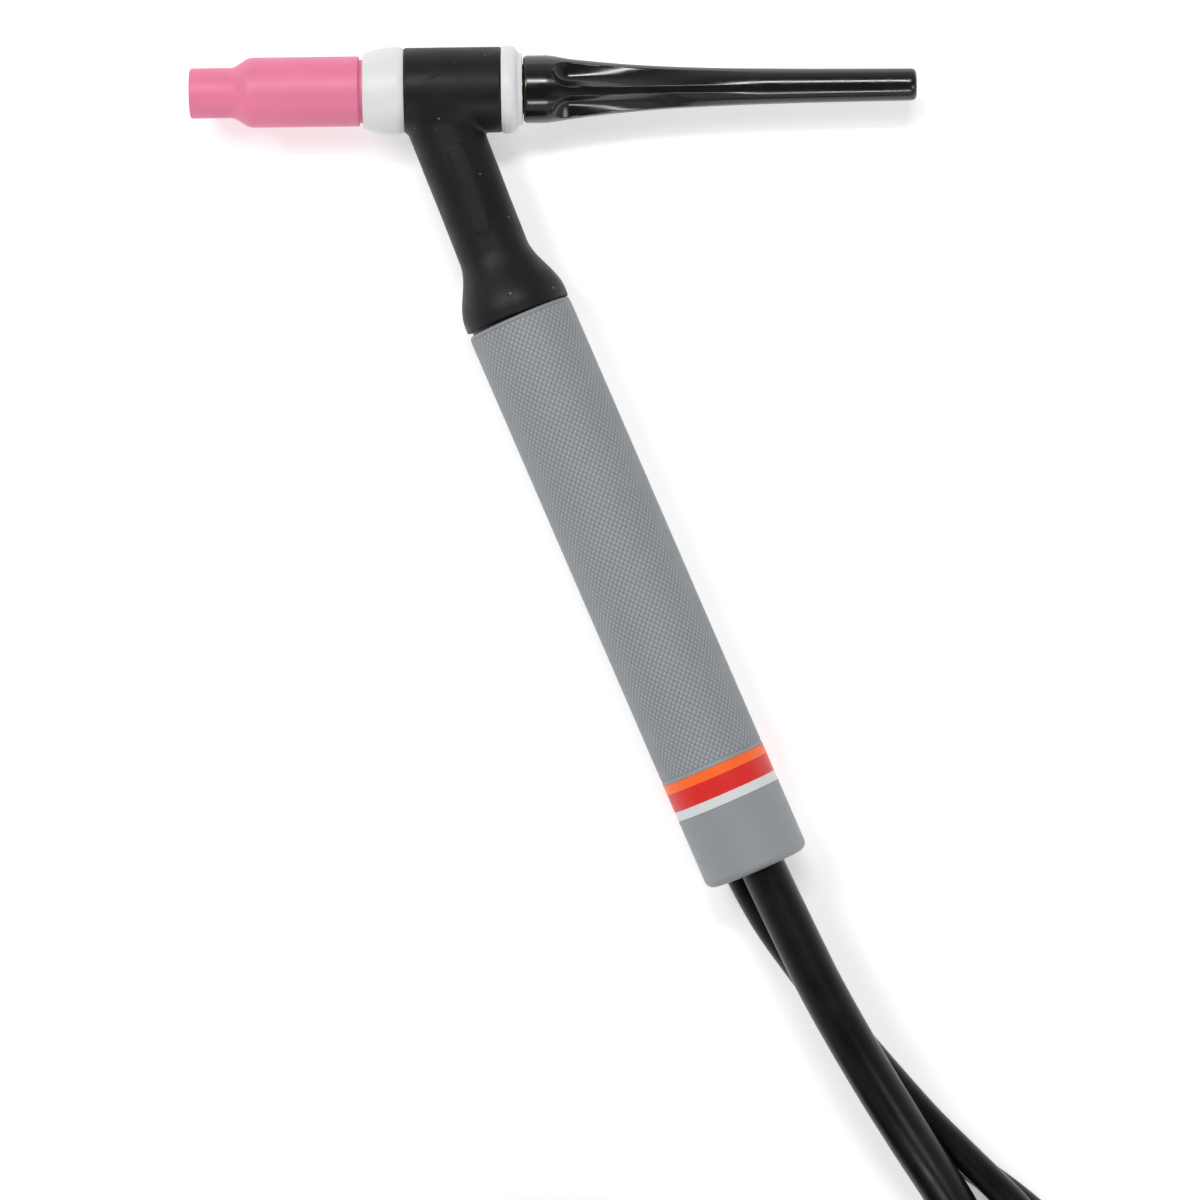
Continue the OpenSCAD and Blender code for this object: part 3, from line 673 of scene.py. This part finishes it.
hose("power_hose", POWER_LEAD + POWER_COIL + POWER_TAIL, 12, "power_hose",
     ["power_hose_lead", "power_hose_coil", "power_hose_tail"], handle_point(152, 1.2, 5.4))
hose("gas_hose", GAS_LEAD + GAS_COIL + GAS_TAIL, 8, "gas_hose",
     ["gas_hose_lead", "gas_hose_coil", "gas_hose_tail"], handle_point(152, 2.8, -6.4))
hose("water_hose", WATER_LEAD + WATER_COIL + WATER_TAIL, 8, "water_hose",
     ["water_hose_lead", "water_hose_coil", "water_hose_tail"], handle_point(152, -4.9, -2.9))


# ---------- head ----------


def make_nozzle():
    """The nozzle, with a thin mouth and a thread inside its rear end."""
    tip, rear = NOZZLE_TIP, NOZZLE_REAR
    out = arc(6.6 - 0.75, tip + 0.75, 0.75, -90, 0, 8)
    out += line(6.6, tip + 1.2, 6.6, tip + 10.2, 12)
    out += s_curve(6.6, tip + 10.6, 9.2, tip + 16.6, 18)
    out += line(9.2, tip + 17, 9.2, -19.25, 28)
    out += arc(9.2 - 0.3, -18.95, 0.3, 0, 90, 5)
    out += [(8.45, -18.65), (8.3, -18.4)] + line(8.3, -18, 8.3, rear - 0.3, 6)
    out += arc(8.0, rear - 0.3, 0.3, 0, 90, 3)
    inside = [(6.2, rear)] + line(5.95, rear - 0.4, 5.95, rear - 10.2, 60) + [(6.6, rear - 10.9)]
    inside += line(6.6, -30, 6.6, -46, 8) + line(6.4, -47, 4.9, -53.2, 8) + line(4.9, -54, 4.9, tip + 0.5, 10)
    inside += arc(5.4, tip + 0.5, 0.5, 180, 270, 5)

    def threaded(r, z, a):
        wave = 0.14 * np.sin(2 * math.pi * z / 1.5 + a)
        return r + np.where((np.abs(r - 5.95) < 0.02), wave, 0)

    obj = make_object("nozzle_body", *revolve(ON_HEAD, out + inside, 144, threaded), "ceramic", "nozzle")
    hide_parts("nozzle")


def make_heat_shield():
    """The white ring between the nozzle and the barrel, wider towards the barrel."""
    a, b = SHIELD_FRONT, BARREL_FRONT
    depth = b - a
    curve = []
    for i in range(25):
        z = 0.7 + (depth - 1.3) * i / 24
        narrowing = 1.55 * max(0, (8.8 - z) / 8.2) ** 2 + 0.35 * max(0, (z - 9.0) / 1.3) ** 2
        curve.append((11.6 - narrowing, a + z))
    out = [(8.45, a + 0.1), (8.7, a)] + [(9.3, a)] + arc(9.4, a + 0.55, 0.55, -90, -10, 5) + curve
    out += arc(10.7, b - 0.35, 0.35, 20, 90, 4)
    inside = [(6.5, b), (6.5, a + 4.6), (6.2, a + 4.4), (6.2, a + 2), (8.4, a + 2)]
    ring = revolve(ON_HEAD, out + inside, 144)
    obj = make_object("heat_shield_ring", *ring, "white_insulator", "heat_shield")
    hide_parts("heat_shield")


def make_rear_gasket():
    """The white ring between the barrel and the back cap."""
    a, b = BARREL_REAR, GASKET_REAR
    out = [(10.9, a)] + arc(11.0, a + 0.35, 0.35, -70, -15, 3) + s_curve(11.35, a + 0.4, 11.6, a + 1.0, 4)
    out += arc(9.05, a + 1.9, 2.55, 12, 70, 14) + arc(9.1, b - 0.35, 0.35, 60, 90, 3)
    inside = [(8.4, b), (8.3, b - 0.1), (8.3, b - 1.1), (6.1, b - 1.1), (6.1, a)]
    obj = make_object("rear_gasket_ring", *revolve(ON_HEAD, out + inside, 144), "white_insulator", "torch")
    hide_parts("rear_gasket")


def neck_radius(d):
    """Radius of the rubber neck at a distance below the head's axis."""
    r = np.interp(d, [0, 20, 34, 45.5], [9.6, 9.5, 9.38, 9.4])
    k = np.clip((d - 45.5) / 16.0, 0, 1)
    return r + 4.8 * (1 - np.cos(math.pi * k)) / 2


def plaque_height(d, across, up):
    """Rise of the blank plaque: a rounded strip that leans a little on the neck's upper side."""
    du, dv = d - PLAQUE_AT, across - PLAQUE_ACROSS
    u = du * math.cos(PLAQUE_LEAN) - dv * math.sin(PLAQUE_LEAN)
    v = du * math.sin(PLAQUE_LEAN) + dv * math.cos(PLAQUE_LEAN)
    gap = PLAQUE_HALF_WIDTH - np.hypot(np.maximum(np.abs(u) - PLAQUE_HALF_RUN, 0), v)
    raised = np.clip(gap / 0.5 + 0.5, 0, 1)
    return PLAQUE_RISE * raised * raised * (3 - 2 * raised) * (up > 0)


def cover_field(p):
    """Distance, below zero inside, to the barrel and the neck blended together."""
    q = p - HEAD
    middle, half = (BARREL_FRONT + BARREL_REAR) / 2, (BARREL_REAR - BARREL_FRONT) / 2
    end = np.abs(q[:, 0] - middle) - (half - BARREL_ROUNDING)
    wall = np.hypot(q[:, 1], q[:, 2]) - (BARREL_R - BARREL_ROUNDING)
    outside = np.hypot(np.maximum(end, 0), np.maximum(wall, 0))
    barrel = np.minimum(np.maximum(end, wall), 0) + outside - BARREL_ROUNDING
    d, across, up = q @ NECK_DIR, q @ side_of(NECK_DIR), q[:, 2]
    neck = np.hypot(across, up) - neck_radius(d) - plaque_height(d, across, up)
    ahead_of_barrel = BARREL_FRONT + BARREL_ROUNDING - q[:, 0]
    neck = np.maximum(np.maximum(neck, d - NECK_END), np.maximum(-d, ahead_of_barrel))
    k = 0.9 + 1.7 * np.clip(up / 9.0, 0, 1) ** 2
    h = np.clip(0.5 + 0.5 * (neck - barrel) / k, 0, 1)
    return neck * (1 - h) + barrel * h - k * h * (1 - h)


def remeshed(verts, faces, voxel):
    """An even mesh of closed, crossing solids: vertices and faces, in millimetres."""
    mesh = bpy.data.meshes.new("rough")
    mesh.from_pydata(np.asarray(verts).tolist(), [], faces)
    obj = bpy.data.objects.new("rough", mesh)
    bpy.context.scene.collection.objects.link(obj)
    mod = obj.modifiers.new("remesh", "REMESH")
    mod.mode, mod.voxel_size, mod.adaptivity = "VOXEL", voxel, 0
    even = bpy.data.meshes.new_from_object(obj.evaluated_get(bpy.context.evaluated_depsgraph_get()))
    co = np.empty(len(even.vertices) * 3)
    even.vertices.foreach_get("co", co)
    quads = [tuple(f.vertices) for f in even.polygons]
    bpy.data.objects.remove(obj)
    bpy.data.meshes.remove(mesh)
    bpy.data.meshes.remove(even)
    return co.reshape(-1, 3), quads


def make_head_cover():
    """The barrel, and a neck that runs into it: softly on top, with a tight corner at the sides."""
    front, rear = BARREL_FRONT, BARREL_REAR
    barrel = revolve(ON_HEAD, [(0.02, front), (BARREL_R, front), (BARREL_R, rear), (0.02, rear)], 96)
    wall = [(float(neck_radius(d)), d) for d in np.linspace(3, NECK_END, 60)]
    neck = revolve(ON_NECK, [(0.02, 3)] + wall + [(0.02, NECK_END)], 96)
    verts, faces = remeshed(*join(barrel, neck), 0.36)
    step = 0.02
    for _ in range(6):
        ahead = [cover_field(verts + step * e) for e in np.eye(3)]
        behind = [cover_field(verts - step * e) for e in np.eye(3)]
        grad = (np.stack(ahead, 1) - np.stack(behind, 1)) / (2 * step)
        size = np.maximum((grad ** 2).sum(1), 0.3)
        verts = verts - (cover_field(verts) / size)[:, None] * grad * 0.9
    q = verts - HEAD
    away = np.hypot(q[:, 1], q[:, 2])
    bored = ((q[:, 0] < front + 0.3) & (away < 6.6)) | ((q[:, 0] > rear - 0.3) & (away < 6.2))
    hollow = (q @ NECK_DIR > NECK_END - 0.3) & (np.hypot(q @ side_of(NECK_DIR), q[:, 2]) < HANDLE_BORE_R)
    gone = bored | hollow
    faces = [f for f in faces if not all(gone[i] for i in f)]

    def lining(end, inward, inner):
        """A short tube just inside a hole's rim."""
        a, b = end + 0.02 * inward, end + inward
        return revolve(ON_HEAD, [(inner, a), (inner, b), (inner + 0.6, b), (inner + 0.6, a)], 96)

    collar = [(HANDLE_BORE_R, 0.0), (12.9, 0.0), (12.9, -1.0), (HANDLE_BORE_R, -1.0)]
    plug = revolve(ON_HANDLE, collar, 96)
    whole = join((verts, faces), lining(front, 1, 6.8), lining(rear, -1, 6.4), plug)
    obj = make_object("head_cover_moulded", *whole, "rubber", "torch", sharp_deg=45)
    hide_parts("head_cover")


def cap_radius(z):
    """Radius of the cap's ribs at a distance behind its front face."""
    z = np.asarray(z, float)
    flare = (COLLAR_R - TIP_R - 0.42) * np.exp(-(np.maximum(z - 6, 0) / 25.5) ** 1.12)
    taper = TIP_R + 0.45 * (1 - z / CAP_LEN) + flare
    return np.where(z < 6, COLLAR_R, taper)


def make_back_cap():
    """A tapering cap with five scooped flutes that start round behind the collar and fade out."""
    length, front, edge = CAP_LEN, CAP_FRONT, 0.95
    sides = 300
    a = np.linspace(0, 2 * math.pi, sides, endpoint=False)
    zs = np.concatenate([[0, 0.1, 0.3, 0.6, 0.95], np.linspace(1.4, 6, 10), np.linspace(6.2, 30, 120),
                         np.linspace(30.4, 80, 110), np.linspace(81, length - 1.3, 24)])
    rows = []
    for z in zs:
        r = np.full(sides, float(cap_radius(z)))
        if z < edge:
            r = np.full(sides, COLLAR_R - edge + math.sqrt(max(edge ** 2 - (edge - z) ** 2, 0)))
        depth = max(float(cap_radius(z)) - (FLUTE_FLOOR_R - 0.013 * max(z - 12.0, 0)), 0)
        half = math.radians(np.interp(z, [12, 55], [27.5, 24]))
        for k in range(FLUTES):
            mid = math.radians(FIRST_RIB_DEG + 360 / FLUTES * (k + 0.5))
            d = (a - mid + math.pi) % (2 * math.pi) - math.pi
            out = np.hypot(max(12.4 - z, 0) / 4.8, d / half)
            r = r - depth * np.clip(1 - out ** 2, 0, 1) ** 0.85
        rows.append((z, r))
    rounding = 1.2
    for k in range(1, 9):
        t = math.radians(90 * k / 8)
        r = np.full(sides, TIP_R + rounding * (math.cos(t) - 1))
        rows.append((length + rounding * (math.sin(t) - 1), r))
    rows.append((length, np.full(sides, 1.4)))
    rows.append((length - 0.15, np.full(sides, 0.02)))
    pts = [place(ON_HEAD, np.full(sides, front + z), r * np.sin(a), -r * np.cos(a)) for z, r in rows]
    inner = [(7.9, 0.02), (7.5, 0.3), (7.5, 1.6), (5.5, 1.6), (5.5, 6), (3, 6), (3, 20), (1.9, 20.5)]
    inner += [(1.9, 100.2), (0.02, 100.2)]
    inner_pts = [place(ON_HEAD, np.full(sides, front + z), r * np.sin(a), -r * np.cos(a)) for r, z in inner]
    all_rows = inner_pts[::-1] + pts
    verts = np.concatenate(all_rows)
    faces = grid_faces(len(all_rows), sides)
    obj = make_object("back_cap_fluted", verts, faces, "cap_plastic", "back_cap", sharp_deg=50)
    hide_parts("back_cap")


def make_handle():
    """The handle: a field of fine raised dots down to the band, and a smooth end with a rounded edge."""
    r, field_to = HANDLE_R, BAND_FROM - 0.8
    around, row = DOTS_AROUND, DOT_ROW
    sides = around * 7
    a = np.linspace(0, 2 * math.pi, sides, endpoint=False)
    zs = np.arange(0.9, field_to, row / 3.5)
    z, ang = np.meshgrid(zs, a, indexing="ij")
    u, v = ang * around / (2 * math.pi), z / (2 * row)
    dot = np.zeros_like(u)
    for shift in (0, 0.5):
        x = (u + shift - np.round(u + shift)) * 2 * math.pi * r / around
        y = (v + shift - np.round(v + shift)) * 2 * row
        dot = np.maximum(dot, np.clip(1 - (np.hypot(x, y) / DOT_R) ** 2, 0, 1))
    dot *= np.clip(np.minimum(z - 0.9, field_to - z) / 0.8, 0, 1)
    rr = r - DOT_HEIGHT + DOT_HEIGHT * dot
    field = place(ON_HANDLE, z, rr * np.cos(ang), rr * np.sin(ang)).reshape(-1, 3)
    bore, recess, band_to = HANDLE_BORE_R, r - 0.15, BAND_FROM + BAND_WIDTH
    lead_in = [(bore, 0.0), (r - 0.85, 0.0)] + arc(r - 0.93, 0.8, 0.8, -80, -5, 5)
    tail = [(r - 0.02, field_to + 0.15), (r, field_to + 0.4), (r, BAND_FROM - 0.05), (recess, BAND_FROM)]
    tail += [(recess, band_to), (r, band_to + 0.05)]
    tail += line(r, band_to + 0.6, r, HANDLE_LEN - 2.8, 16) + arc(r - 2.3, HANDLE_LEN - 2.3, 2.3, 0, 90, 12)
    tail += [(12.0, HANDLE_LEN)] + arc(12.0, HANDLE_LEN - 0.4, 0.4, 90, 180, 4)
    tail += [(11.6, HANDLE_LEN - 8), (bore, HANDLE_LEN - 9), (bore, 60), (bore, 12)]

    def ring(rad, at):
        return place(ON_HANDLE, np.full(sides, at), rad * np.cos(a), rad * np.sin(a))

    head = np.concatenate([ring(*p) for p in lead_in])
    end = np.concatenate([ring(*p) for p in tail])
    verts = np.concatenate([head, field, end])
    rows = len(lead_in) + len(zs) + len(tail)
    faces = grid_faces(rows, sides, close_rows=True)
    obj = make_object("handle_textured", verts, faces, "handle_plastic", "torch", sharp_deg=60)
    # The dot attribute is each point's dot height; the handle's colour ramp turns it into painted shade
    # between the dots and painted highlight on their tops.
    values = np.concatenate([np.full(len(head), 0.4), dot.reshape(-1), np.full(len(end), 0.4)])
    obj.data.attributes.new("dot", "FLOAT", "POINT").data.foreach_set("value", values.astype(np.float32))
    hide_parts("handle")


def make_band():
    """The wrapped band, with a distance along it for its colours."""
    r, a0, w = HANDLE_R, BAND_FROM, BAND_WIDTH
    out = [(r - 0.14, a0 + 0.02)] + arc(r - 0.06, a0 + 0.1, 0.06, -90, 0, 3)
    out += line(r, a0 + 0.3, r, a0 + w - 0.3, 60)
    out += arc(r - 0.06, a0 + w - 0.1, 0.06, 0, 90, 3) + [(r - 0.14, a0 + w - 0.02)]
    verts, faces = revolve(ON_HANDLE, out, 192)
    obj = make_object("handle_band_wrapped", verts, faces, "band_vinyl", "torch")
    along = np.repeat([(p[1] - a0) / w for p in out], 192)
    obj.data.attributes.new("along", "FLOAT", "POINT").data.foreach_set("value", along.astype(np.float32))
    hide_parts("handle_band")


make_nozzle()
make_heat_shield()
make_rear_gasket()
make_head_cover()
make_back_cap()
make_handle()
make_band()

# ---------- the CAD nodes that stay ----------

slot_of = {s["node"]: s["material_slot"] for s in frame["record"]["subparts"]}
for name, obj in nodes.items():
    obj.data.materials.clear()
    obj.data.materials.append(MATERIALS[slot_of[name]])


# ---------- floor ----------


def make_floor():
    s = Shader("floor", Roughness=0.9, Emission_Color=(1, 1, 1, 1), Emission_Strength=0.4)
    s.set("Base Color", s.mix(s.noise(3, 2), (0.82, 0.82, 0.82), (0.84, 0.84, 0.84)))
    mesh = bpy.data.meshes.new("floor")
    corners = [(x, y, -0.0003) for x, y in ((-4, -4), (4, -4), (4, 4), (-4, 4))]
    mesh.from_pydata(corners, [], [(0, 1, 2, 3)])
    mesh.materials.append(s.mat)
    obj = bpy.data.objects.new("floor", mesh)
    bpy.context.scene.collection.objects.link(obj)


make_floor()
